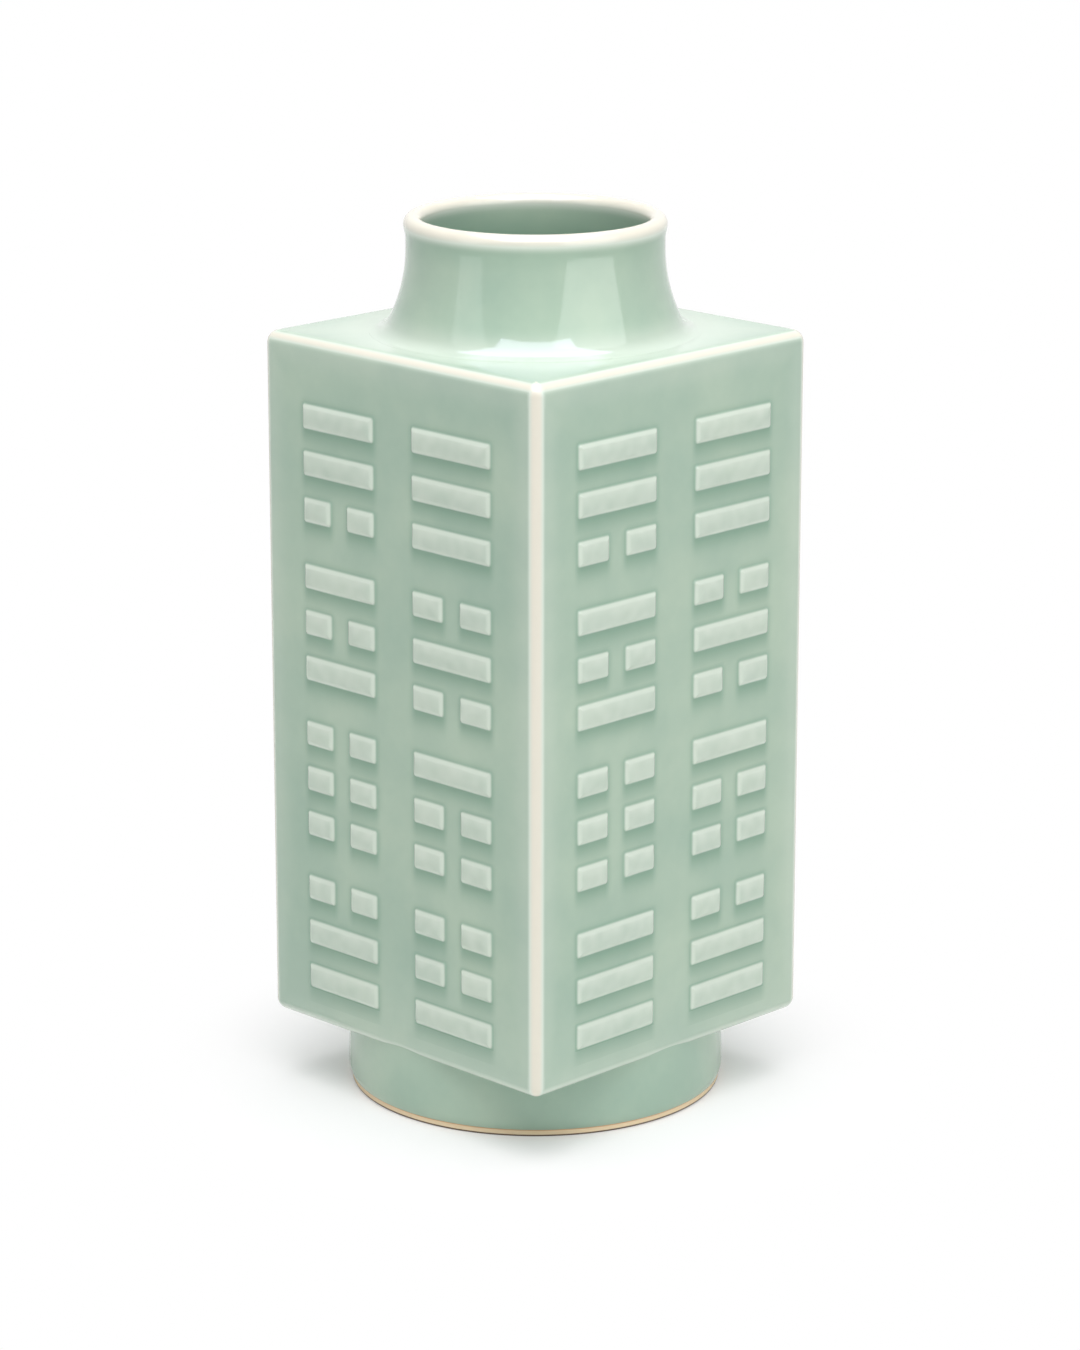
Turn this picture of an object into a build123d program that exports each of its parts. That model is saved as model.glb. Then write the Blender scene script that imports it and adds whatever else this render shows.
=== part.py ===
from build123d import *
import os
from math import sqrt

# Cong vase, slab-built in porcelain: a square body between a thrown round neck and a thrown round foot.
# Origin: centre of the standing rim. +Z up, -Y is the front face, +X the right face. Millimetres.

# Body: four mitred walls standing on a base slab under a shoulder slab
body_side = 119.8
body_height = 222.5
body_edge_r = 4.0        # rounding of every outer edge
wall_t = 6.0
base_t = 7.0
shoulder_t = 7.0

# Foot: a thrown ring luted under the base
foot_height = 21.3
foot_inset = 0.5         # from the body's faces in to the ring where it meets the base
foot_swell = 0.8         # how far its widest stands out past that
foot_swell_z = 5.5
rim_tuck = 0.8           # from its widest in to the glaze's lower edge
foot_wall = 7.0
bare_band = 2.3          # unglazed strip above the standing rim
bare_band_inset = 0.3    # how far the bare clay lies inside the glaze
rim_round_r = 0.6

# Neck: a thrown collar luted on the shoulder, with a rolled lip
neck_height = 36.2
mouth_r = 35.0           # straight bore of the mouth
mouth_bore = 25.0        # length of that bore below the roll of the lip
lip_outer_r = 40.75
lip_depth = 7.2          # from the crown of the lip down to the waist under it
waist_r = 40.1
waist_drop = 10.0        # from the crown to where the collar starts to flare
neck_root_r = 50.9       # where the flare runs out on the shoulder
neck_root_fillet = 6.0
neck_root_edge = 0.4     # height of the edge where the flare ends
throat_r = 38.5          # opening through the shoulder slab

# Trigrams: raised bars in two columns of four trigrams, the same on every face
bar_height = 7.7
bar_relief = 1.4
bar_gap = 7.4            # break in the middle of a broken bar
bar_corner_r = 0.9       # corners of the bar seen from the front
bar_edge_r = 0.8         # rounding of its raised edge
bar_pitch = 14.8
trigram_pitch = 50.8
trigram_top = 20.5       # from the shoulder down to the first bar
column_margin = 17.5     # plain strip between a column and the body's edge
column_gap = 17.2        # and between the two columns
narrow_by = 2.4          # the front face's left column is narrower by this
front_shift = 1.5        # and its right column sits nearer the middle

base_z = foot_height
wall_z = base_z + base_t
body_top = base_z + body_height
wall_top = body_top - shoulder_t
rim_z = body_top + neck_height
half_side = body_side / 2
bar_width = half_side - column_margin - column_gap / 2

# Lines of each trigram from top to bottom: 1 is a whole bar, 0 a broken one
LINES = {
    "heaven": (1, 1, 1), "lake": (0, 1, 1), "fire": (1, 0, 1), "thunder": (0, 0, 1),
    "wind": (1, 1, 0), "water": (0, 1, 0), "mountain": (1, 0, 0), "earth": (0, 0, 0),
}
FULL_LEFT = ("wind", "fire", "earth", "lake")
FULL_RIGHT = ("heaven", "water", "mountain", "thunder")

# Each face: its turn about Z, then the trigrams of its left and right columns, top to bottom
FACES = {
    "front": (0, FULL_LEFT, FULL_RIGHT),
    "right": (90, ("wind", "fire", "earth", "heaven"), ("heaven", "water", "mountain", "lake")),
    "back": (180, FULL_LEFT, FULL_RIGHT),
    "left": (270, FULL_LEFT, FULL_RIGHT),
}


def neck():
    """Thrown collar: rolled lip, waist, flare that runs out on the shoulder, straight bore."""
    lip_r = (lip_outer_r - mouth_r) / 2
    crown = (mouth_r + lip_r, rim_z)
    lip_side = (lip_outer_r, rim_z - lip_r)
    lip_foot = (waist_r, rim_z - lip_depth)
    lip_turn = ((lip_outer_r + waist_r) / 2, (lip_side[1] + lip_foot[1]) / 2)
    flare_z = rim_z - waist_drop
    # The flare's radius follows from its upright start at the waist and its flat end on the shoulder
    out = neck_root_r - waist_r
    down = flare_z - body_top - neck_root_edge - neck_root_fillet
    flare_r = (out**2 + down**2 - neck_root_fillet**2) / (2 * (out - neck_root_fillet))
    flare_mid = (waist_r + flare_r, flare_z)
    root_mid = (neck_root_r, body_top + neck_root_edge + neck_root_fillet)
    reach = flare_r / (flare_r - neck_root_fillet)
    join = (
        flare_mid[0] + reach * (root_mid[0] - flare_mid[0]),
        flare_mid[1] + reach * (root_mid[1] - flare_mid[1]),
    )
    bore_top = (mouth_r, rim_z - lip_r)
    bore_foot = (mouth_r, bore_top[1] - mouth_bore)
    root_edge = (neck_root_r, body_top + neck_root_edge)
    lip_curve = CenterArc((crown[0], rim_z - lip_r), lip_r, 0, 180)
    upper = TangentArc(lip_side, lip_turn, tangent=(0, -1))
    lower = TangentArc(lip_foot, lip_turn, tangent=(0, 1))
    flare = TangentArc((waist_r, flare_z), join, tangent=(0, -1))
    root = TangentArc(join, root_edge, tangent=flare % 1)
    throat = TangentArc(bore_foot, (throat_r, body_top), tangent=(0, -1))
    outline = [
        lip_curve, upper, lower, Line(lip_foot, (waist_r, flare_z)), flare, root,
        Line(root_edge, (neck_root_r, body_top)), Line((neck_root_r, body_top), (throat_r, body_top)),
        throat, Line(bore_foot, bore_top),
    ]
    return revolve(Plane.XZ * make_face(outline), Axis.Z)


def slab(thickness):
    """Square plate with rounded upright corners, standing on Z = 0."""
    plate = Box(body_side, body_side, thickness, align=(Align.CENTER, Align.CENTER, Align.MIN))
    return fillet(plate.edges().filter_by(Axis.Z), body_edge_r)


def shoulder_slab():
    """Flat shoulder with the throat cut through it and its outer top edge rounded."""
    plate = slab(shoulder_t)
    plate = fillet(plate.faces().sort_by(Axis.Z)[-1].edges(), min(body_edge_r, 0.9 * shoulder_t))
    plate -= Cylinder(throat_r, 3 * shoulder_t)
    return Pos(0, 0, wall_top) * plate


def base_slab():
    """Flat base, its outer bottom edge rounded."""
    plate = slab(base_t)
    plate = fillet(plate.faces().sort_by(Axis.Z)[0].edges(), min(body_edge_r, 0.9 * base_t))
    return Pos(0, 0, base_z) * plate


def wall():
    """The front wall: a slab mitred at both ends, each mitre ending in half of the rounded edge."""
    inner = half_side - wall_t
    flat = half_side - body_edge_r
    nose = flat + body_edge_r / sqrt(2)
    outline = [
        Line((-flat, -half_side), (flat, -half_side)),
        CenterArc((flat, -flat), body_edge_r, -90, 45),
        Line((nose, -nose), (inner, -inner)),
        Line((inner, -inner), (-inner, -inner)),
        Line((-inner, -inner), (-nose, -nose)),
        CenterArc((-flat, -flat), body_edge_r, -135, 45),
    ]
    return Pos(0, 0, wall_z) * extrude(make_face(outline), wall_top - wall_z)


def foot_ring():
    """Thrown ring with a slight bulge, a bare clay band and a flat standing rim."""
    top_r = half_side - foot_inset
    widest_r = top_r + foot_swell
    glaze_r = widest_r - rim_tuck
    band_r = glaze_r - bare_band_inset
    inner_r = top_r - foot_wall
    widest = (widest_r, foot_swell_z)
    outline = [
        Line((inner_r, base_z), (top_r, base_z)),
        TangentArc(widest, (top_r, base_z), tangent=(0, 1)),
        TangentArc(widest, (glaze_r, bare_band), tangent=(0, -1)),
        Line((glaze_r, bare_band), (band_r, bare_band)),
        Line((band_r, bare_band), (band_r, 0)),
        Line((band_r, 0), (inner_r, 0)),
        Line((inner_r, 0), (inner_r, base_z)),
    ]
    ring = revolve(Plane.XZ * make_face(outline), Axis.Z)
    return fillet(ring.faces().sort_by(Axis.Z)[0].edges(), rim_round_r)


def bar(centre, width, top):
    """One raised bar of the front face, its back on the wall's outer face."""
    block = Box(width, bar_relief, bar_height, align=(Align.CENTER, Align.MAX, Align.MAX))
    block = fillet(block.edges().filter_by(Axis.Y), bar_corner_r)
    block = fillet(block.faces().sort_by(Axis.Y)[0].edges(), min(bar_edge_r, 0.8 * bar_relief))
    return Pos(centre, -half_side, top) * block


def trigram(name, centre, width, top):
    """Three bars one above another, whole or broken in the middle."""
    bars = []
    half_width = (width - bar_gap) / 2
    for row, whole in enumerate(LINES[name]):
        row_top = top - row * bar_pitch
        if whole:
            bars.append(bar(centre, width, row_top))
        else:
            offset = (half_width + bar_gap) / 2
            bars += [bar(centre - offset, half_width, row_top), bar(centre + offset, half_width, row_top)]
    return bars


def columns(face):
    """Centre and width of a face's two columns."""
    offset = (column_gap + bar_width) / 2
    if face == "front":
        return (-offset, bar_width - narrow_by), (offset - front_shift, bar_width)
    return (-offset, bar_width), (offset, bar_width)


parts = {
    "neck": neck(),
    "shoulder_slab": shoulder_slab(),
    "base_slab": base_slab(),
    "foot_ring": foot_ring(),
}
for face, (turn, left_names, right_names) in FACES.items():
    turned = Rot(0, 0, turn)
    parts["wall_" + face] = turned * wall()
    number = 0
    for (centre, width), names in zip(columns(face), (left_names, right_names)):
        for row, name in enumerate(names):
            number += 1
            top = body_top - trigram_top - row * trigram_pitch
            bars = [turned * block for block in trigram(name, centre, width, top)]
            parts[f"trigram_{face}_{number}_{name}"] = Compound(children=bars)

os.makedirs("parts", exist_ok=True)
for name, shape in parts.items():
    export_step(shape, f"parts/{name}.step")
    print(name, round(shape.volume / 1000, 2), "cm3")
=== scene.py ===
from math import acos, atan, atan2, cos, exp, pi, radians, sin, sqrt, tan

import bmesh
import bpy
from mathutils import Matrix, Vector, noise


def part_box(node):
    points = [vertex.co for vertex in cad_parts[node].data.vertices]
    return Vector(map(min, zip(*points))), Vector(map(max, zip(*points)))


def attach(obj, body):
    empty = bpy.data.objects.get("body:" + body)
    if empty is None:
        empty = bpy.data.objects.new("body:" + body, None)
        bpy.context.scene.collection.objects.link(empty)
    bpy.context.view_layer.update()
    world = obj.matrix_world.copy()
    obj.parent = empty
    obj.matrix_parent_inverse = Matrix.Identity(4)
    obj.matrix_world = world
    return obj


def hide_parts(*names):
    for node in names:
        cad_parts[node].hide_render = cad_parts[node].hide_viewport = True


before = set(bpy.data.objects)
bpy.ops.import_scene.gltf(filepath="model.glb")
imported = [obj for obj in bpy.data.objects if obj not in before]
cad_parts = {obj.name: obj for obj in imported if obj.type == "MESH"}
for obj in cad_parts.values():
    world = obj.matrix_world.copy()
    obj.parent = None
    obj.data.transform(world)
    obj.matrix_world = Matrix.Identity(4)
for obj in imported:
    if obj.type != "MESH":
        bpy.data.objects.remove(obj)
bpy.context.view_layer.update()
print("frame loaded:", len(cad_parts), "nodes")

mm = 0.001
scene = bpy.context.scene
scene.view_settings.view_transform = "Standard"


# Small helpers

def linear(hexColour):
    channels = [int(hexColour[i:i + 2], 16) / 255 for i in (0, 2, 4)]
    return [c / 12.92 if c <= 0.04045 else ((c + 0.055) / 1.055) ** 2.4 for c in channels] + [1.0]


def addNode(tree, kind, inputs=None, **settings):
    node = tree.nodes.new(kind)
    for name, value in settings.items():
        setattr(node, name, value)
    for socket, value in (inputs or {}).items():
        if isinstance(value, bpy.types.NodeSocket):
            tree.links.new(value, node.inputs[socket])
        else:
            node.inputs[socket].default_value = value
    return node


def mixColours(tree, factor, first, second):
    sockets = {"Factor": factor, "A": first, "B": second}
    return addNode(tree, "ShaderNodeMix", sockets, data_type="RGBA").outputs["Result"]


def calculate(tree, operation, first, second):
    return addNode(tree, "ShaderNodeMath", {0: first, 1: second}, operation=operation).outputs["Value"]


def fade(tree, value, start, end, atStart=0.0, atEnd=1.0):
    # eases from one level to another between two values
    sockets = {"Value": value, "From Min": start, "From Max": end, "To Min": atStart, "To Max": atEnd}
    return addNode(tree, "ShaderNodeMapRange", sockets, interpolation_type="SMOOTHSTEP").outputs["Result"]


def smooth(low, high, value):
    t = min(1.0, max(0.0, (value - low) / (high - low)))
    return t * t * (3 - 2 * t)


def arc(centre, radius, start, end, steps):
    # points on a circle in the profile plane, angles in degrees, both ends included
    angles = [radians(start + (end - start) * i / steps) for i in range(steps + 1)]
    return [(centre[0] + radius * cos(a), centre[1] + radius * sin(a)) for a in angles]


# Sizes of the vase, in mm, read off the frame

baseLow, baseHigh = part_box("base_slab")
shoulderLow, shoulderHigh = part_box("shoulder_slab")
neckLow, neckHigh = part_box("neck")
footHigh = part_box("foot_ring")[1]

body = {
    "half": baseHigh.x / mm,           # half of the body's side
    "bottom": baseLow.z / mm,
    "top": shoulderHigh.z / mm,
    "wallBottom": baseHigh.z / mm,
    "wallTop": shoulderLow.z / mm,
    "edgeRadius": 4.0,                 # rounding of the outer edges
    "wall": 6.0,
}
body["flat"] = body["half"] - body["edgeRadius"]


def boxOffset(x, y, z):
    # how far a point of the body's skin lies past the block that its rounding is rolled around
    middle = (body["bottom"] + body["top"]) / 2
    tall = (body["top"] - body["bottom"]) / 2 - body["edgeRadius"]
    return [
        (abs(x) - body["flat"], 1 if x > 0 else -1),
        (abs(y) - body["flat"], 1 if y > 0 else -1),
        (abs(z - middle) - tall, 1 if z > middle else -1),
    ]


def bodyNormal(x, y, z):
    parts = [max(0.0, past) * side for past, side in boxOffset(x, y, z)]
    return Vector(parts).normalized()


def edgeTravel(one, other):
    # mm over the skin from where an edge's rounding starts: below 0 on the flats, above 0 on the edge
    high, low = max(one, other), min(one, other)
    if low <= 0:
        return low
    return body["edgeRadius"] * acos(min(1.0, high / sqrt(high ** 2 + low ** 2)))


# Where the glaze ran thin on the body, and where paler glaze paints bounce light low on the walls, as
# shares from 0 to 1 and reaches in mm
edgeGlaze = {
    "upright": 0.92, "top": 0.9, "bottom": 0.36,    # how thin it is on each kind of edge
    "start": -0.3, "full": 2.4,                     # how far into the edge that starts and is full
    "topStart": 0.5, "topFull": 3.0,                # and on the top edges
    "halo": 0.1, "haloReach": 5.0,                  # faint thinning beside every edge
    # low: painted bounce light, the walls painted paler towards their bottom
    "low": 0.07, "paintedBounceReach": 45.0,                  # and on the lowest part of the walls
}


def thinOnEdges(x, y, z):
    (dx, _), (dy, _), (dz, up) = boxOffset(x, y, z)
    g = edgeGlaze
    upright, level = edgeTravel(dx, dy), edgeTravel(max(dx, dy), dz)
    thin = g["upright"] * smooth(g["start"], g["full"], upright)
    if up > 0:
        thin = max(thin, g["top"] * smooth(g["topStart"], g["topFull"], level))
    else:
        thin = max(thin, g["bottom"] * smooth(g["start"], g["full"], level))
    nearest = min(0.0, max(upright, level))
    return max(thin, g["halo"] * exp(-((nearest / g["haloReach"]) ** 2)))


# The trigrams: where each bar lies on its face

trigramLines = {
    "heaven": (1, 1, 1), "lake": (0, 1, 1), "fire": (1, 0, 1), "thunder": (0, 0, 1),
    "wind": (1, 1, 0), "water": (0, 1, 0), "mountain": (1, 0, 0), "earth": (0, 0, 0),
}
faceTurn = {"front": 0, "right": 90, "back": 180, "left": 270}

relief = {
    "height": 1.4,       # how far the bars stand out
    "barHeight": 7.7,
    "gap": 7.4,          # break in a broken bar
    "pitch": 14.8,
    "corner": 0.9,
    "foot": 0.6,         # how far the soft foot of a bar runs out on the wall
    "shoulder": 1.4,     # how far in from its edge a bar reaches its full height
    "crown": 0.46,       # swelling of its face
    "handSize": 4.5,     # mm from dent to dent where fingers and glaze left the bars uneven
    "handEdge": 0.22,    # how far their outlines wander
    "handFace": 0.1,     # and how deep the dents in their faces are
    "fineStep": 0.22,    # mm between the mesh's lines near a bar's edge
    "fineReach": 0.4,    # how far past the shoulder they go on
    "coarseStep": 1.1,   # and on its face
    "lift": 0.02,        # how far the outermost line stands off the wall
    "slopeStep": 0.02,   # mm over which a bar's slope is measured
}


def faceFrame(face):
    return Matrix.Rotation(radians(faceTurn[face]), 4, "Z")


def barsOf(node):
    # (left, right, bottom, top) of each bar in the face's own upright plane
    face, name = node.split("_")[1], node.split("_")[3]
    corners = [faceFrame(face).inverted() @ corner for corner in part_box(node)]
    left, right = sorted(corner.x / mm for corner in corners)
    top = max(corner.z for corner in corners) / mm
    bars = []
    for row, whole in enumerate(trigramLines[name]):
        high = top - row * relief["pitch"]
        low = high - relief["barHeight"]
        half = (right - left - relief["gap"]) / 2
        spans = [(left, right)] if whole else [(left, left + half), (right - half, right)]
        bars += [(start, end, low, high) for start, end in spans]
    return bars


trigramNodes = sorted(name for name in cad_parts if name.startswith("trigram_"))
faceBars = {face: [] for face in faceTurn}
for node in trigramNodes:
    faceBars[node.split("_")[1]] += barsOf(node)


# Thin glaze on a bar: most on the turn of its edge, less on its face. The face's upper half is painted a
# little paler, as painted light from above. The reaches are mm in from the bar's outline.
barGlaze = {
    # upper: the face's upper half painted paler, painted light from above
    "edge": 0.4, "face": 0.27, "upper": 0.11,
    "start": -0.3, "full": 0.4, "fadeFrom": 0.4, "fadeTo": 1.6,
    "poolFrom": -0.2, "poolTo": 0.4,      # where the glaze gathered against the bar ends
    "uneven": 0.08, "unevenSize": 3.5,    # mottling of the thin glaze, and mm from patch to patch
}


def insideBar(u, v, bar):
    # mm from a bar's outline, above 0 inside it, with its corners rounded
    left, right, low, high = bar
    corner = relief["corner"]
    du = abs(u - (left + right) / 2) - (right - left) / 2 + corner
    dv = abs(v - (low + high) / 2) - (high - low) / 2 + corner
    outside = sqrt(max(du, 0) ** 2 + max(dv, 0) ** 2)
    return corner - outside - min(max(du, dv), 0)


glazeFlow = {
    "around": 1.3,       # mm that thick glaze reaches around a bar
    "aroundDepth": 0.45,
    # Below each bar the glaze ran and gathered, and a painted shadow under the bar is added to it
    "below": 4.2,        # and below it, where it ran and gathered
    "poolAndPaintedShadowBelowDepth": 0.75,
    "within": 1.0,       # how far inside the bar's outline the glaze below it is full
    "past": 2.2,         # and how far past the bar's ends it fades out
    "farBeside": 8.0,    # bars further off than this aren't looked at
    "farAbove": 14.0,    # unless they are above, and no further than this
}


def poolAndPaintedShadowOnFace(u, v, face):
    # 0 to 1: how thick the glaze has gathered against the bars, with a painted shadow under each bar added
    #         to it
    flow = glazeFlow
    depth = 0.0
    for bar in faceBars[face]:
        left, right, low, high = bar
        beside = left - flow["farBeside"] < u < right + flow["farBeside"]
        if not (beside and low - flow["farAbove"] < v < high + flow["farBeside"]):
            continue
        away = max(0.0, -insideBar(u, v, bar))
        depth = max(depth, flow["aroundDepth"] * exp(-((away / flow["around"]) ** 2)))
        # under the bar: gathered glaze and a painted shadow
        if v < low + flow["within"]:
            reach = smooth(left - flow["past"], left + flow["within"], u)
            reach *= 1 - smooth(right - flow["within"], right + flow["past"], u)
            drop = max(0.0, low - v)
            depth = max(depth, flow["poolAndPaintedShadowBelowDepth"] * exp(-((drop / flow["below"]) ** 2)) * reach)
    return depth


# Meshes

shading = {
    "sharp": 35,      # degrees from which an edge stays hard
    "facing": 0.6,    # a true normal is used where it leans this near to the face's own
}


def finishPiece(bm, name, material, replaced, glazeAt, normalAt=None):
    # glazeAt gives (thin, pool) at a point in mm; normalAt the true normal of the glazed skin there
    thin = bm.verts.layers.float.new("thin")
    pool = bm.verts.layers.float.new("pool")
    for vert in bm.verts:
        vert[thin], vert[pool] = glazeAt(vert.co)
        vert.co *= mm
    for face in bm.faces:
        face.smooth = True
    for edge in bm.edges:
        edge.smooth = len(edge.link_faces) == 2 and edge.calc_face_angle() < radians(shading["sharp"])
    mesh = bpy.data.meshes.new(name)
    bm.to_mesh(mesh)
    bm.free()
    if normalAt:
        normals = []
        for polygon in mesh.polygons:
            for corner in polygon.loop_indices:
                point = mesh.vertices[mesh.loops[corner].vertex_index].co / mm
                true = normalAt(point)
                facing = true.dot(polygon.normal) > shading["facing"]
                normals.append(true if facing else polygon.normal.copy())
        mesh.normals_split_custom_set(normals)
    mesh.materials.append(material)
    piece = bpy.data.objects.new(name, mesh)
    scene.collection.objects.link(piece)
    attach(piece, "root")
    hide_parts(*replaced)
    return piece


def closeBack(bm, place):
    # pulls the open rim of a sheet back to its inner side and closes it
    rim = [edge for edge in bm.edges if edge.is_boundary]
    grown = bmesh.ops.extrude_edge_only(bm, edges=rim)["geom"]
    for vert in (item for item in grown if isinstance(item, bmesh.types.BMVert)):
        vert.co = place(vert.co)
    back = [edge for edge in bm.edges if edge.is_boundary]
    bmesh.ops.contextual_create(bm, geom=back)
    bmesh.ops.recalc_face_normals(bm, faces=bm.faces)


def spacedStations(low, high, step):
    count = max(1, round((high - low) / step))
    return [low + (high - low) * i / count for i in range(count + 1)]


def gridOver(across, upright):
    # a flat sheet in the XZ plane with its columns and rows at the given stations
    bm = bmesh.new()
    columns, rows = len(across) - 1, len(upright) - 1
    bmesh.ops.create_grid(bm, x_segments=columns, y_segments=rows, size=0.5)
    for vert in bm.verts:
        column = round((vert.co.x + 0.5) * columns)
        row = round((vert.co.y + 0.5) * rows)
        vert.co = (across[column], 0, upright[row])
    return bm


# Materials

glazeLook = {
    "green": "B2C7B3",       # the glaze at its usual depth
    "greyGreen": "A0BAA8",   # and where slow clouds in it run cooler
    # deep also paints the shadow under the bars; pale and cream also paint light round the neck, on the
    # bars' upper halves and low on the walls
    "deep": "7BA08A",        # gathered thick
    "pale": "DAE3D7",        # half its depth
    "cream": "E8E1D2",       # thinned to the white body on edges
    "cloudSize": 36.0,       # mm across a slow cloud of tone
    "cloudFrom": 0.32, "cloudTo": 0.68,
    "cloudDetail": 4.0, "cloudRoughness": 0.55,
    "peelSize": 5.0,         # mm from crest to crest of the faint ripple in the gloss
    "peelDepth": 0.006, "peelDetail": 1.0,
    "roughness": 0.07,
    "ior": 1.5,
    "half": 0.5,             # where pale turns to cream as the glaze thins
}


def newMaterial(name):
    material = bpy.data.materials.new(name)
    material.use_nodes = True
    material.node_tree.nodes.clear()
    return material, material.node_tree


def glazedPorcelain(title):
    # Celadon over white porcelain: a clear, hard, iron-tinted glass. Deep where thick, cream where thin.
    # The thin and pool attributes also carry painted light and a painted shadow in places.
    material, tree = newMaterial(title)
    place = addNode(tree, "ShaderNodeTexCoord").outputs["Object"]
    thin = addNode(tree, "ShaderNodeAttribute", attribute_name="thin").outputs["Fac"]
    pool = addNode(tree, "ShaderNodeAttribute", attribute_name="pool").outputs["Fac"]
    cloud = addNode(tree, "ShaderNodeTexNoise", {
        "Vector": place, "Scale": 1 / (glazeLook["cloudSize"] * mm),
        "Detail": glazeLook["cloudDetail"], "Roughness": glazeLook["cloudRoughness"]}).outputs["Fac"]
    tone = addNode(tree, "ShaderNodeMapRange", {
        "Value": cloud, "From Min": glazeLook["cloudFrom"], "From Max": glazeLook["cloudTo"]})
    halfWay = addNode(tree, "ShaderNodeMapRange", {"Value": thin, "From Max": glazeLook["half"]})
    theRest = addNode(tree, "ShaderNodeMapRange", {"Value": thin, "From Min": glazeLook["half"]})
    colour = linear(glazeLook["green"])
    for share, name in ((tone.outputs["Result"], "greyGreen"), (pool, "deep"),
                        (halfWay.outputs["Result"], "pale"), (theRest.outputs["Result"], "cream")):
        colour = mixColours(tree, share, colour, linear(glazeLook[name]))
    ripple = addNode(tree, "ShaderNodeTexNoise", {
        "Vector": place, "Scale": 1 / (glazeLook["peelSize"] * mm), "Detail": glazeLook["peelDetail"]})
    bump = addNode(tree, "ShaderNodeBump", {
        "Height": ripple.outputs["Fac"], "Strength": 1.0, "Distance": glazeLook["peelDepth"] * mm})
    shader = addNode(tree, "ShaderNodeBsdfPrincipled", {
        "Base Color": colour, "Roughness": glazeLook["roughness"], "IOR": glazeLook["ior"],
        "Normal": bump.outputs["Normal"]})
    addNode(tree, "ShaderNodeOutputMaterial", {"Surface": shader.outputs["BSDF"]})
    return material, tree, shader, colour


celadonGlaze = glazedPorcelain("celadonGlaze")[0]

footLook = {
    "bareBand": 2.3,         # mm of bare clay above the standing rim
    "clay": "F0DAB6",        # bare porcelain toasted by the kiln
    "clayRoughness": 0.75,
    "flash": "CB8440",       # orange line where the glaze stops
    "flashWidth": 0.5,
    "waver": 0.35,           # mm by which the glaze line wanders
    "waverSize": 14.0,       # and from wave to wave
    "waverDetail": 3.0,
    "softBelow": 0.1,        # mm over which the glaze ends, below and above its line
    "softAbove": 0.15,
    # paintedContactShadow: a painted contact shadow, a dark line on the turn of the rim where it meets the
    # floor
    "paintedContactShadow": "4A3828",       # dark line that handling left on the turn of the rim
    "paintedContactShadowDepth": 0.95,
    "paintedContactShadowHeight": 0.8,      # mm up to which it reaches, and the share of that up to which it is full
    "paintedContactShadowFull": 0.6,
    "paintedContactShadowRadius": 58.7,     # and only outside this
    "pool": 0.25,            # the glaze gathered a little towards its line
    "poolHeight": 5.0,
}


def footPorcelain():
    # The same glaze, wiped off the standing rim: matt toasted clay with an orange flashing line, and a
    # painted contact shadow on the turn of the rim.
    material, tree, shader, glaze = glazedPorcelain("footPorcelain")
    look = footLook
    place = addNode(tree, "ShaderNodeTexCoord").outputs["Object"]
    height = addNode(tree, "ShaderNodeSeparateXYZ", {"Vector": place}).outputs["Z"]
    wander = addNode(tree, "ShaderNodeTexNoise", {
        "Vector": place, "Scale": 1 / (look["waverSize"] * mm), "Detail": look["waverDetail"]})
    shift = calculate(tree, "MULTIPLY", wander.outputs["Fac"], look["waver"] * mm)
    level = calculate(tree, "ADD", height, shift)
    band = (look["bareBand"] + look["waver"] / 2) * mm    # the noise is 0.5 on average
    bare = fade(tree, level, band - look["softBelow"] * mm, band + look["softAbove"] * mm, 1.0, 0.0)
    flashed = fade(tree, level, band - look["flashWidth"] * mm, band)
    # the painted contact shadow: darkest at the bottom of the rim's turn, on its outside only
    full, none = look["paintedContactShadowFull"] * look["paintedContactShadowHeight"] * mm, look["paintedContactShadowHeight"] * mm
    paintedContactShade = fade(tree, height, full, none, look["paintedContactShadowDepth"], 0.0)
    flat = addNode(tree, "ShaderNodeVectorMath", {0: place, 1: (1, 1, 0)}, operation="MULTIPLY")
    radius = addNode(tree, "ShaderNodeVectorMath", {0: flat.outputs["Vector"]}, operation="LENGTH")
    outer = calculate(tree, "GREATER_THAN", radius.outputs["Value"], look["paintedContactShadowRadius"] * mm)
    clay = mixColours(tree, flashed, linear(look["clay"]), linear(look["flash"]))
    rim = mixColours(tree, calculate(tree, "MULTIPLY", paintedContactShade, outer), clay, linear(look["paintedContactShadow"]))
    rough = addNode(tree, "ShaderNodeMix", {
        "Factor": bare, "A": glazeLook["roughness"], "B": look["clayRoughness"]}, data_type="FLOAT")
    tree.links.new(mixColours(tree, bare, glaze, rim), shader.inputs["Base Color"])
    tree.links.new(rough.outputs["Result"], shader.inputs["Roughness"])
    return material


footGlaze = footPorcelain()
print("materials ready")


# Walls

wallSkin = {
    "step": 1.0,          # mm between the mesh's lines
    "edgeSteps": 8,       # steps in half a rounded edge
    "insidePool": 0.5,    # the inside is thickly glazed
}


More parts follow.
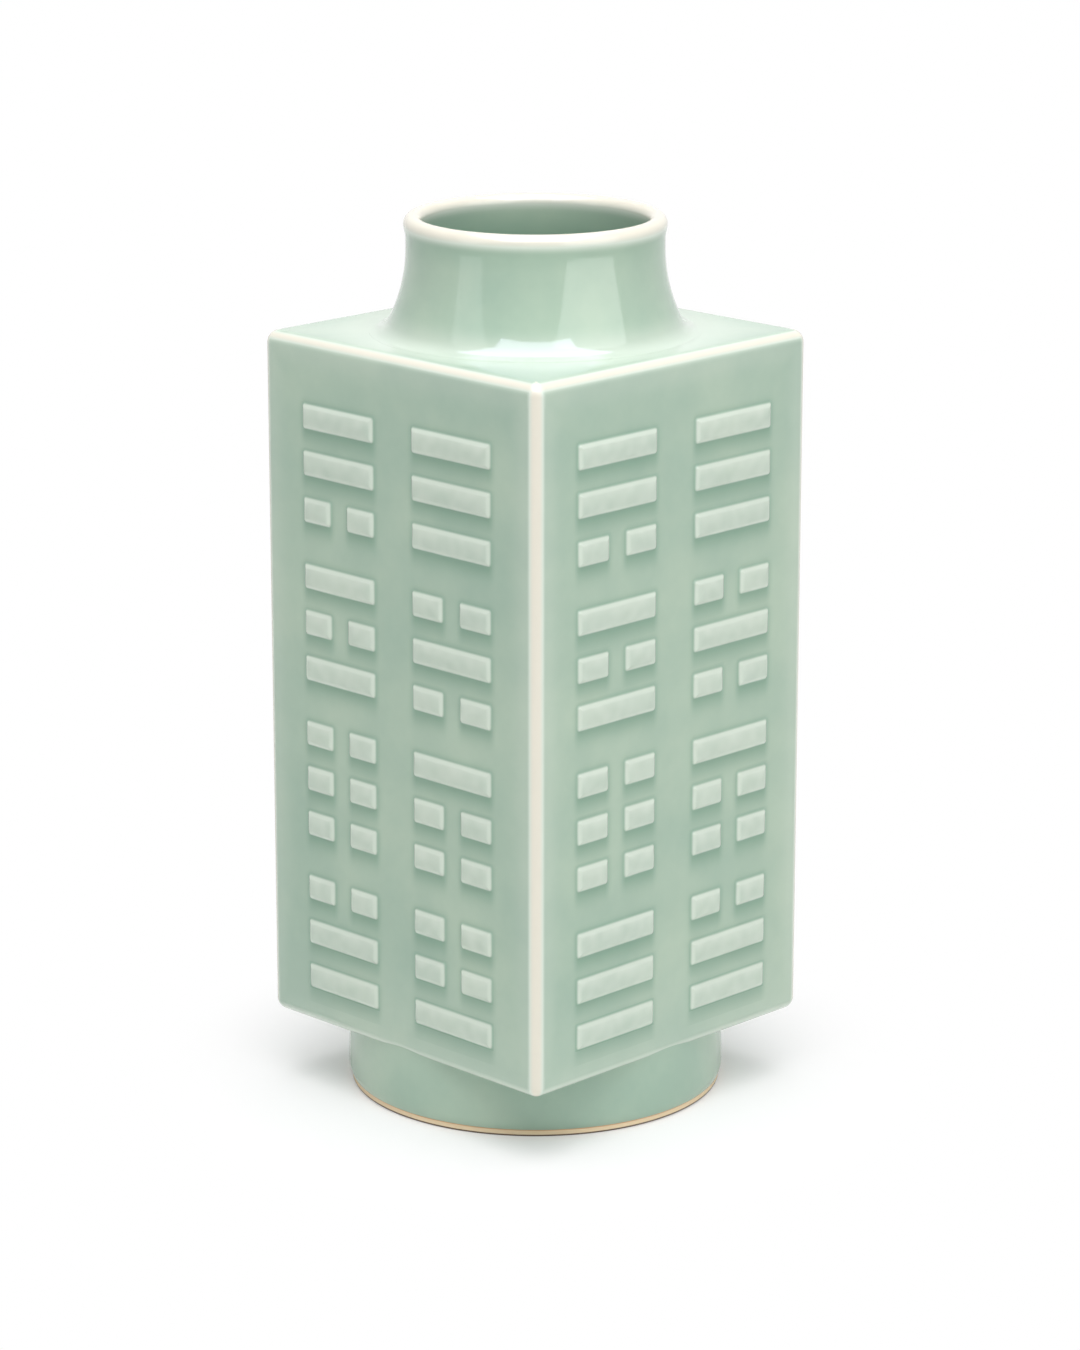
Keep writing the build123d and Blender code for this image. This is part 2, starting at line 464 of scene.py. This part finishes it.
def makeWall(face):
    flat, radius, half = body["flat"], body["edgeRadius"], body["half"]
    inner = half - body["wall"]
    corner = radius * pi / 4                       # skin length of half a rounded edge
    edge = spacedStations(flat, flat + corner, corner / wallSkin["edgeSteps"])
    across = [-u for u in reversed(edge[1:])] + spacedStations(-flat, flat, wallSkin["step"]) + edge[1:]
    upright = spacedStations(body["wallBottom"], body["wallTop"], wallSkin["step"])
    bm = gridOver(across, upright)
    turn = faceFrame(face)
    for vert in bm.verts:
        u, v = vert.co.x, vert.co.z
        over = max(0.0, abs(u) - flat) / radius    # angle round the edge
        side = 1 if u > 0 else -1
        x = u if over == 0 else side * (flat + radius * sin(over))
        y = -half if over == 0 else -(flat + radius * cos(over))
        vert.co = (x, y, v)
    closeBack(bm, lambda point: Vector((max(-inner, min(inner, point.x)), -inner, point.z)))

    def glaze(point):
        local = turn.inverted() @ point
        if local.y > -half + radius:
            return 0.0, wallSkin["insidePool"]
        # painted bounce light: the walls are painted paler towards their bottom
        low = edgeGlaze["low"] * (1 - smooth(0, edgeGlaze["paintedBounceReach"], local.z - body["bottom"]))
        thin = max(low, thinOnEdges(local.x, local.y, local.z))
        return thin, poolAndPaintedShadowOnFace(local.x, local.z, face)

    bmesh.ops.transform(bm, matrix=turn, verts=bm.verts)
    finishPiece(bm, "glazed_wall_" + face, celadonGlaze, ["wall_" + face],
                glaze, lambda point: bodyNormal(*point))


for face in faceTurn:
    makeWall(face)
print("walls done")


# Shoulder and base

slabSkin = {
    "flatSteps": 30, "cornerSteps": 10, "edgeSteps": 10,
    "throatRadius": 38.5,                       # opening from the body into the neck
    "topRadii": (46.0, 50.0, 52.0, 54.0),       # round loops on the shoulder, close where the neck ends
    "topInsets": (1.2, 0.4),                    # square loops, mm in from where the edge's rounding starts
    "lowInsets": (40.0, 20.0, 6.0, 1.8, 0.9),   # and under the base
    "hiddenInset": 2.0,                         # and the one on the base's hidden upper side
    "leastCorner": 0.02,                        # corner radius of a loop that is as good as square
}


def ringAngles():
    # directions of the points of every loop, crowded at the four corners
    start = atan2(body["flat"], body["half"])
    flatSteps, cornerSteps = slabSkin["flatSteps"], slabSkin["cornerSteps"]
    quarter = [atan(tan(start) * (2 * i / flatSteps - 1)) for i in range(flatSteps + 1)]
    quarter += [start + (pi / 2 - 2 * start) * i / cornerSteps for i in range(1, cornerSteps)]
    return [angle + turn * pi / 2 for turn in range(4) for angle in quarter]


def squareReach(angle, flat, corner):
    # distance from the middle to a square with rounded corners, in a direction
    folded = abs((angle + pi / 4) % (pi / 2) - pi / 4)
    side = flat + corner
    if side * tan(folded) <= flat:
        return side / cos(folded)
    along = cos(folded) + sin(folded)
    across = cos(folded) - sin(folded)
    return flat * along + sqrt(max(0.0, corner ** 2 - (flat * across) ** 2))


def roundReach(radius):
    return lambda angle: radius


def squareRing(inset, corner=slabSkin["leastCorner"]):
    return lambda angle: squareReach(angle, body["flat"] - inset, corner)


def loftRings(rings, closed):
    # rings: (reach at an angle, z); each is grown from the one before, then the last is joined or capped
    angles = ringAngles()
    bm = bmesh.new()
    verts = bmesh.ops.create_circle(bm, segments=len(angles), radius=1)["verts"]
    reach, z = rings[0]
    for vert, angle in zip(verts, angles):
        vert.co = (reach(angle) * cos(angle), reach(angle) * sin(angle), z)
    first = edges = list(bm.edges)
    for reach, z in rings[1:]:
        grown = bmesh.ops.extrude_edge_only(bm, edges=edges)["geom"]
        edges = [item for item in grown if isinstance(item, bmesh.types.BMEdge)]
        for vert in (item for item in grown if isinstance(item, bmesh.types.BMVert)):
            angle = atan2(vert.co.y, vert.co.x)
            vert.co = (reach(angle) * cos(angle), reach(angle) * sin(angle), z)
    if closed:
        bmesh.ops.bridge_loops(bm, edges=first + edges)
    else:
        bmesh.ops.contextual_create(bm, geom=first)
        bmesh.ops.contextual_create(bm, geom=edges)
    bmesh.ops.recalc_face_normals(bm, faces=bm.faces)
    return bm


def edgeRings(z, way):
    # the rounded outer edge, from the flat face at height z round to the upright side
    radius = body["edgeRadius"]
    rings = []
    for step in range(slabSkin["edgeSteps"] + 1):
        turn = pi / 2 * step / slabSkin["edgeSteps"]
        corner = max(slabSkin["leastCorner"], radius * sin(turn))
        rings.append((squareRing(0, corner), z - way * radius * (1 - cos(turn))))
    return rings


# The shoulder is painted a little paler than the walls, and paler still round the neck: a painted
# highlight where the neck meets the shoulder
shoulderGlaze = {
    # flat: a faint paleness all over; root: the painted highlight beside the neck
    "flat": 0.03, "root": 0.26,    # how thin it is all over, and how much more beside the neck
    "rootRadius": 50.0,
    "reach": 11.0,                 # mm that this goes out on the shoulder
    "climb": 9.0,                  # and up the neck
    "tolerance": 0.01,
}


def paleAndPaintedHighlightRoundNeck(radius):
    away = max(0.0, radius - shoulderGlaze["rootRadius"])
    return shoulderGlaze["flat"] + shoulderGlaze["root"] * exp(-((away / shoulderGlaze["reach"]) ** 2))


def slabGlaze(point):
    x, y, z = point
    thin = thinOnEdges(x, y, z)
    # on the shoulder's top: the paleness, and the painted highlight round the neck
    if z > body["top"] - shoulderGlaze["tolerance"]:
        thin = max(thin, paleAndPaintedHighlightRoundNeck(sqrt(x * x + y * y)))
    return thin, 0.0


def makeShoulder():
    top, low = body["top"], body["wallTop"]
    throat = roundReach(slabSkin["throatRadius"])
    rings = [(throat, low), (throat, top)]
    rings += [(roundReach(radius), top) for radius in slabSkin["topRadii"]]
    rings += [(squareRing(inset), top) for inset in slabSkin["topInsets"]]
    rings += edgeRings(top, 1) + [(squareRing(0, body["edgeRadius"]), low)]
    bm = loftRings(rings, True)
    finishPiece(bm, "glazed_shoulder", celadonGlaze, ["shoulder_slab"],
                slabGlaze, lambda point: bodyNormal(*point))


def makeBase():
    low, high = body["bottom"], body["wallBottom"]
    rings = [(squareRing(inset), low) for inset in slabSkin["lowInsets"]]
    rings += edgeRings(low, -1)
    rings += [(squareRing(0, body["edgeRadius"]), high), (squareRing(slabSkin["hiddenInset"]), high)]
    bm = loftRings(rings, False)
    finishPiece(bm, "glazed_base", celadonGlaze, ["base_slab"],
                slabGlaze, lambda point: bodyNormal(*point))


makeShoulder()
makeBase()
print("shoulder and base done")


# Neck and foot, both thrown: a profile spun about the upright axis

spin = {"steps": 192, "merge": 1e-5}


def spinProfile(points):
    bm = bmesh.new()
    verts = [bm.verts.new((r, 0, z)) for r, z in points]
    for start, end in zip(verts, verts[1:] + verts[:1]):
        bm.edges.new((start, end))
    bmesh.ops.spin(bm, geom=list(bm.verts) + list(bm.edges), cent=(0, 0, 0), axis=(0, 0, 1),
                   angle=2 * pi, steps=spin["steps"], use_merge=True)
    bmesh.ops.remove_doubles(bm, verts=bm.verts, dist=spin["merge"])
    bmesh.ops.recalc_face_normals(bm, faces=bm.faces)
    return bm


neckShape = {
    "rim": neckHigh.z / mm,
    "foot": neckLow.z / mm,
    "rootRadius": neckHigh.x / mm,    # where the flare runs out on the shoulder
    "mouthRadius": 35.0,
    "lipRadius": 40.75,
    "lipDepth": 7.2,
    "waistRadius": 40.1,
    "waistDrop": 10.0,
    "rootFillet": 6.0,
    "boreLength": 25.0,
    "throatRadius": slabSkin["throatRadius"],
    "feather": 0.02,                  # thickness left where the flare runs out
    "featherWidth": 0.8,
    "lipSteps": 20, "swellSteps": 8, "flareSteps": 16, "filletSteps": 14, "throatSteps": 6,
    "boreStep": 1.0,                  # mm between the rings of the bore
}


def neckProfile():
    n = neckShape
    lip = (n["lipRadius"] - n["mouthRadius"]) / 2
    crown = (n["mouthRadius"] + lip, n["rim"] - lip)
    flareTop = n["rim"] - n["waistDrop"]
    out = n["rootRadius"] - n["waistRadius"]
    down = flareTop - n["foot"] - n["rootFillet"]
    flare = (out ** 2 + down ** 2 - n["rootFillet"] ** 2) / (2 * (out - n["rootFillet"]))
    flareMid = (n["waistRadius"] + flare, flareTop)
    rootMid = (n["rootRadius"], n["foot"] + n["rootFillet"])
    join = 180 + atan2(flareMid[1] - rootMid[1], flareMid[0] - rootMid[0]) * 180 / pi
    points = arc(crown, lip, 180, 0, n["lipSteps"])
    lipFoot = n["rim"] - n["lipDepth"]
    swell = n["lipRadius"] - n["waistRadius"]
    for step in range(1, n["swellSteps"] + 1):
        share = step / n["swellSteps"]
        z = crown[1] + (lipFoot - crown[1]) * share
        points.append((n["lipRadius"] - swell * smooth(0, 1, share), z))
    points += arc(flareMid, flare, 180, join, n["flareSteps"])
    points += arc(rootMid, n["rootFillet"], join, 270, n["filletSteps"])[1:]
    end, z = points.pop()
    outer = end + n["featherWidth"]
    points += [(end, z + n["feather"]), (outer, z + n["feather"]), (outer, n["foot"])]
    points.append((n["throatRadius"], n["foot"]))
    boreFoot = crown[1] - n["boreLength"]
    for step in range(1, n["throatSteps"] + 1):
        share = step / n["throatSteps"]
        flareIn = (n["throatRadius"] - n["mouthRadius"]) * (1 - share) ** 2
        points.append((n["mouthRadius"] + flareIn, n["foot"] + (boreFoot - n["foot"]) * share))
    points += [(n["mouthRadius"], z) for z in spacedStations(boreFoot, crown[1], n["boreStep"])[1:-1]]
    return points


# Glaze on the neck: depths from 0 to 1, and how far below the crown of the lip they lie, in mm
neckLook = {
    "lip": 0.92,                            # thin over the lip, where it fades out
    "outerFrom": 1.4, "outerTo": 5.8,       # on its outside
    "innerFrom": 0.8, "innerTo": 5.6,       # and on its inside
    "underLip": 0.2,                        # gathered under the lip
    "underAt": 7.2, "underReach": 3.2,
    "mouth": 0.55,                          # and thick inside the mouth
    "mouthFrom": 3.0, "mouthTo": 14.0,
}


def neckGlaze(point):
    n, g = neckShape, neckLook
    radius = sqrt(point.x ** 2 + point.y ** 2)
    drop = n["rim"] - point.z
    if radius < (n["lipRadius"] + n["mouthRadius"]) / 2:
        thin = g["lip"] * (1 - smooth(g["innerFrom"], g["innerTo"], drop))
        return thin, g["mouth"] * smooth(g["mouthFrom"], g["mouthTo"], drop)
    thin = g["lip"] * (1 - smooth(g["outerFrom"], g["outerTo"], drop))
    # the painted highlight round the neck's root, fading out up the neck
    root = paleAndPaintedHighlightRoundNeck(radius) * (1 - smooth(0, shoulderGlaze["climb"], point.z - n["foot"]))
    return max(thin, root), g["underLip"] * exp(-(((drop - g["underAt"]) / g["underReach"]) ** 2))


finishPiece(spinProfile(neckProfile()), "glazed_neck", celadonGlaze, ["neck"], neckGlaze)

footShape = {
    "top": footHigh.z / mm,
    "climb": 2.3,            # the glaze fills the gap under the body's rounded bottom edge by this much
    "topRadius": 59.4,
    "bulgeRadius": footHigh.x / mm,
    "bulgeHeight": 5.5,
    "rimRadius": 59.4,
    "wall": 7.0,
    "bareBand": footLook["bareBand"],
    "bareInset": 0.3,        # how far the bare clay lies inside the glaze
    "glazeEnd": 0.1,         # the glaze's end slopes in over this
    "glazeEndFoot": 0.35,    # and meets the clay this far under its line
    "round": 0.6,
    "insideRings": (6.0, 14.0),
    "upperSteps": 12, "lowerSteps": 8, "roundSteps": 6,
}


def footProfile():
    f = footShape
    inner = f["topRadius"] - f["wall"]
    band = f["rimRadius"] - f["bareInset"]
    points = [(inner, f["top"] + f["climb"]), (f["topRadius"], f["top"] + f["climb"])]
    for step in range(f["upperSteps"] + 1):
        share = step / f["upperSteps"]
        z = f["top"] + (f["bulgeHeight"] - f["top"]) * share
        points.append((f["bulgeRadius"] - (f["bulgeRadius"] - f["topRadius"]) * (1 - share) ** 2, z))
    for step in range(1, f["lowerSteps"] + 1):
        share = step / f["lowerSteps"]
        z = f["bulgeHeight"] + (f["bareBand"] - f["bulgeHeight"]) * share
        points.append((f["bulgeRadius"] - (f["bulgeRadius"] - f["rimRadius"]) * share ** 2, z))
    points.append((band + f["glazeEnd"], f["bareBand"] - f["glazeEnd"]))
    points.append((band, f["bareBand"] - f["glazeEndFoot"]))
    points += arc((band - f["round"], f["round"]), f["round"], 0, -90, f["roundSteps"])
    points += arc((inner + f["round"], f["round"]), f["round"], 270, 180, f["roundSteps"])
    return points + [(inner, z) for z in f["insideRings"]]


def footPool(point):
    return 0.0, footLook["pool"] * smooth(footLook["poolHeight"], 0, point.z)


finishPiece(spinProfile(footProfile()), "glazed_foot", footGlaze, ["foot_ring"], footPool)
print("neck and foot done")


# Trigram bars, each a soft raised pad that runs out into the wall

def barHeightAt(u, v, bar):
    low, high = bar[2:]
    depth = insideBar(u, v, bar)
    hand = noise.noise(Vector((u, high, v)) / relief["handSize"])
    wander = relief["handEdge"] * hand * smooth(-relief["foot"], 0, depth)
    rise = smooth(-relief["foot"], relief["shoulder"], depth + wander)
    swell = (relief["crown"] + relief["handFace"] * (hand - 1)) * smooth(0, (high - low) / 2, depth)
    return (relief["height"] - relief["crown"]) * rise + swell


def barStations(low, high):
    edge = relief["shoulder"] + relief["fineReach"]
    start = spacedStations(low - relief["foot"], low + edge, relief["fineStep"])
    end = spacedStations(high - edge, high + relief["foot"], relief["fineStep"])
    return start + spacedStations(low + edge, high - edge, relief["coarseStep"])[1:-1] + end


def makeTrigram(node):
    face = node.split("_")[1]
    turn = faceFrame(face)
    back = turn.inverted()
    bars = barsOf(node)
    joined = bmesh.new()
    for bar in bars:
        bm = gridOver(barStations(bar[0], bar[1]), barStations(bar[2], bar[3]))
        for vert in bm.verts:
            vert.co.y = -body["half"] - relief["lift"] - barHeightAt(vert.co.x, vert.co.z, bar)
        closeBack(bm, lambda point: Vector((point.x, -body["half"], point.z)))
        part = bpy.data.meshes.new("bar")
        bm.to_mesh(part)
        bm.free()
        joined.from_mesh(part)
        bpy.data.meshes.remove(part)

    def onBar(point):
        # the point in the face's own plane, and the bar that it lies on
        local = back @ Vector(point)
        return local.x, local.z, max(bars, key=lambda bar: insideBar(local.x, local.z, bar))

    def trueNormal(point):
        u, v, bar = onBar(point)
        step = relief["slopeStep"]
        du = barHeightAt(u + step, v, bar) - barHeightAt(u - step, v, bar)
        dv = barHeightAt(u, v + step, bar) - barHeightAt(u, v - step, bar)
        slope = Vector((-du / (2 * step), -1, -dv / (2 * step)))
        return (turn @ slope).normalized()

    def glaze(point):
        u, v, bar = onBar(point)
        look = barGlaze
        low, high = bar[2:]
        depth = insideBar(u, v, bar)
        onEdge = smooth(look["start"], look["full"], depth)
        onFace = smooth(look["fadeFrom"], look["fadeTo"], depth)
        # the face's upper half painted paler: painted light from above
        faceThinAndPaintedLight = look["face"] + look["upper"] * smooth((low + high) / 2, high, v)
        faceThinAndPaintedLight += look["uneven"] * noise.noise(Vector((u, low, v)) / look["unevenSize"])
        thin = look["edge"] * onEdge * (1 - onFace) + faceThinAndPaintedLight * onFace
        return thin, poolAndPaintedShadowOnFace(u, v, face) * (1 - smooth(look["poolFrom"], look["poolTo"], depth))

    bmesh.ops.transform(joined, matrix=turn, verts=joined.verts)
    finishPiece(joined, "glazed_" + node, celadonGlaze, [node], glaze, trueNormal)


for node in trigramNodes:
    makeTrigram(node)
print("trigrams done")


# Floor, light and camera

photo = {
    "width": 1080, "height": 1350,
    "focal": 4492.9,             # in pixels of the photograph
    "middle": (535.45, 657.2),   # pixel that the lens axis passes through
    "distance": 1418.2,          # mm from the camera to the point it looks at
    "lookHeight": 138.5,
    "elevation": 15.39,
    "azimuth": 44.84,
    "sensor": 36,                # mm
    "farthest": 50,              # m
}


def lookAt(item, height, azimuth, elevation, distance):
    # puts a camera or lamp round the upright axis, facing a point on it; metres and degrees
    tilt, turn = radians(elevation), radians(azimuth)
    away = Vector((sin(turn) * cos(tilt), -cos(turn) * cos(tilt), sin(tilt)))
    item.location = Vector((0, 0, height)) + away * distance
    item.rotation_euler = (pi / 2 - tilt, 0, turn)
    scene.collection.objects.link(item)


def makeCamera():
    lens = bpy.data.cameras.new("camera")
    lens.sensor_width = photo["sensor"]
    lens.lens = photo["focal"] / photo["height"] * lens.sensor_width
    lens.shift_x = (photo["width"] / 2 - photo["middle"][0]) / photo["height"]
    lens.shift_y = (photo["middle"][1] - photo["height"] / 2) / photo["height"]
    lens.clip_end = photo["farthest"]
    camera = bpy.data.objects.new("camera", lens)
    lookAt(camera, photo["lookHeight"] * mm, photo["azimuth"], photo["elevation"], photo["distance"] * mm)
    scene.camera = camera


studio = {
    "floorSize": 14.0,       # m
    "floorSteps": 8,
    "floorColour": "F8F8F8",
    "white": "FFFFFF",
    "world": 0.38,           # strength of the even light from all round
    "whiteFrom": 0.058,      # m from the vase's axis where the floor starts to burn out to white
    "whiteFull": 0.13,
    "whiteLeast": 0.25,      # share of white nearer in
    "aimHeight": 0.15,       # m up the vase, where the lamps point
    "lights": [
        # name, azimuth, elevation, distance, width, height, watts, colour;
        # the first two light the vase and are not mirrored in it, the cards are only mirrored
        ("overhead", 45, 77, 1.2, 1.0, 1.5, 16.5, "FFFFFF", True),
        ("rightSoftbox", 78, 28, 1.5, 1.2, 1.1, 4, "FFFFFF", True),
        ("rightCard", 94, 24, 1.05, 1.0, 1.3, 9, "FFFFFF", False),
        ("leftCard", -13, 24, 1.05, 0.45, 1.3, 2.3, "FFFFFF", False),
        ("topCard", 45, 74, 1.2, 1.25, 1.6, 44, "E4E2FF", False),
    ],
}


def makeLights():
    for name, azimuth, elevation, distance, width, height, watts, colour, lights in studio["lights"]:
        lamp = bpy.data.lights.new(name, "AREA")
        lamp.shape = "RECTANGLE"
        lamp.size, lamp.size_y = width, height
        lamp.energy = watts
        lamp.color = linear(colour)[:3]
        holder = bpy.data.objects.new(name, lamp)
        holder.visible_camera = False
        holder.visible_diffuse = lights
        holder.visible_glossy = not lights
        lookAt(holder, studio["aimHeight"], azimuth, elevation, distance)


def makeWorld():
    world = bpy.data.worlds.new("studio")
    world.use_nodes = True
    tree = world.node_tree
    tree.nodes.clear()
    rays = addNode(tree, "ShaderNodeLightPath").outputs
    seen = calculate(tree, "MAXIMUM", rays["Is Camera Ray"], rays["Is Glossy Ray"])
    through = calculate(tree, "MAXIMUM", seen, rays["Is Transmission Ray"])
    white = linear(studio["white"])
    light = addNode(tree, "ShaderNodeBackground", {"Color": white, "Strength": studio["world"]})
    plain = addNode(tree, "ShaderNodeBackground", {"Color": white, "Strength": 1.0})
    mix = addNode(tree, "ShaderNodeMixShader", {
        0: through, 1: light.outputs["Background"], 2: plain.outputs["Background"]})
    addNode(tree, "ShaderNodeOutputWorld", {"Surface": mix.outputs["Shader"]})
    scene.world = world


def paperSweep():
    # White paper, burnt out to plain white for the camera and in the glaze, except close to the foot
    material, tree = newMaterial("paperSweep")
    rays = addNode(tree, "ShaderNodeLightPath").outputs
    paper = addNode(tree, "ShaderNodeBsdfDiffuse", {"Color": linear(studio["floorColour"])})
    white = addNode(tree, "ShaderNodeEmission", {"Color": linear(studio["white"]), "Strength": 1.0})
    place = addNode(tree, "ShaderNodeTexCoord").outputs["Object"]
    reach = addNode(tree, "ShaderNodeVectorMath", {0: place}, operation="LENGTH").outputs["Value"]
    far = fade(tree, reach, studio["whiteFrom"], studio["whiteFull"], studio["whiteLeast"], 1.0)
    seen = calculate(tree, "MAXIMUM", rays["Is Camera Ray"], rays["Is Glossy Ray"])
    mix = addNode(tree, "ShaderNodeMixShader", {
        0: calculate(tree, "MULTIPLY", seen, far), 1: paper.outputs["BSDF"], 2: white.outputs["Emission"]})
    # from below the paper is clear, so the foot can be looked at
    under = addNode(tree, "ShaderNodeNewGeometry")
    clear = addNode(tree, "ShaderNodeBsdfTransparent")
    oneSided = addNode(tree, "ShaderNodeMixShader", {
        0: under.outputs["Backfacing"], 1: mix.outputs["Shader"], 2: clear.outputs["BSDF"]})
    addNode(tree, "ShaderNodeOutputMaterial", {"Surface": oneSided.outputs["Shader"]})
    return material


def makeFloor():
    bm = bmesh.new()
    steps = studio["floorSteps"]
    bmesh.ops.create_grid(bm, x_segments=steps, y_segments=steps, size=studio["floorSize"] / 2)
    mesh = bpy.data.meshes.new("floor")
    bm.to_mesh(mesh)
    bm.free()
    mesh.materials.append(paperSweep())
    floor = bpy.data.objects.new("floor", mesh)
    scene.collection.objects.link(floor)


makeCamera()
makeLights()
makeWorld()
makeFloor()
print("studio ready")
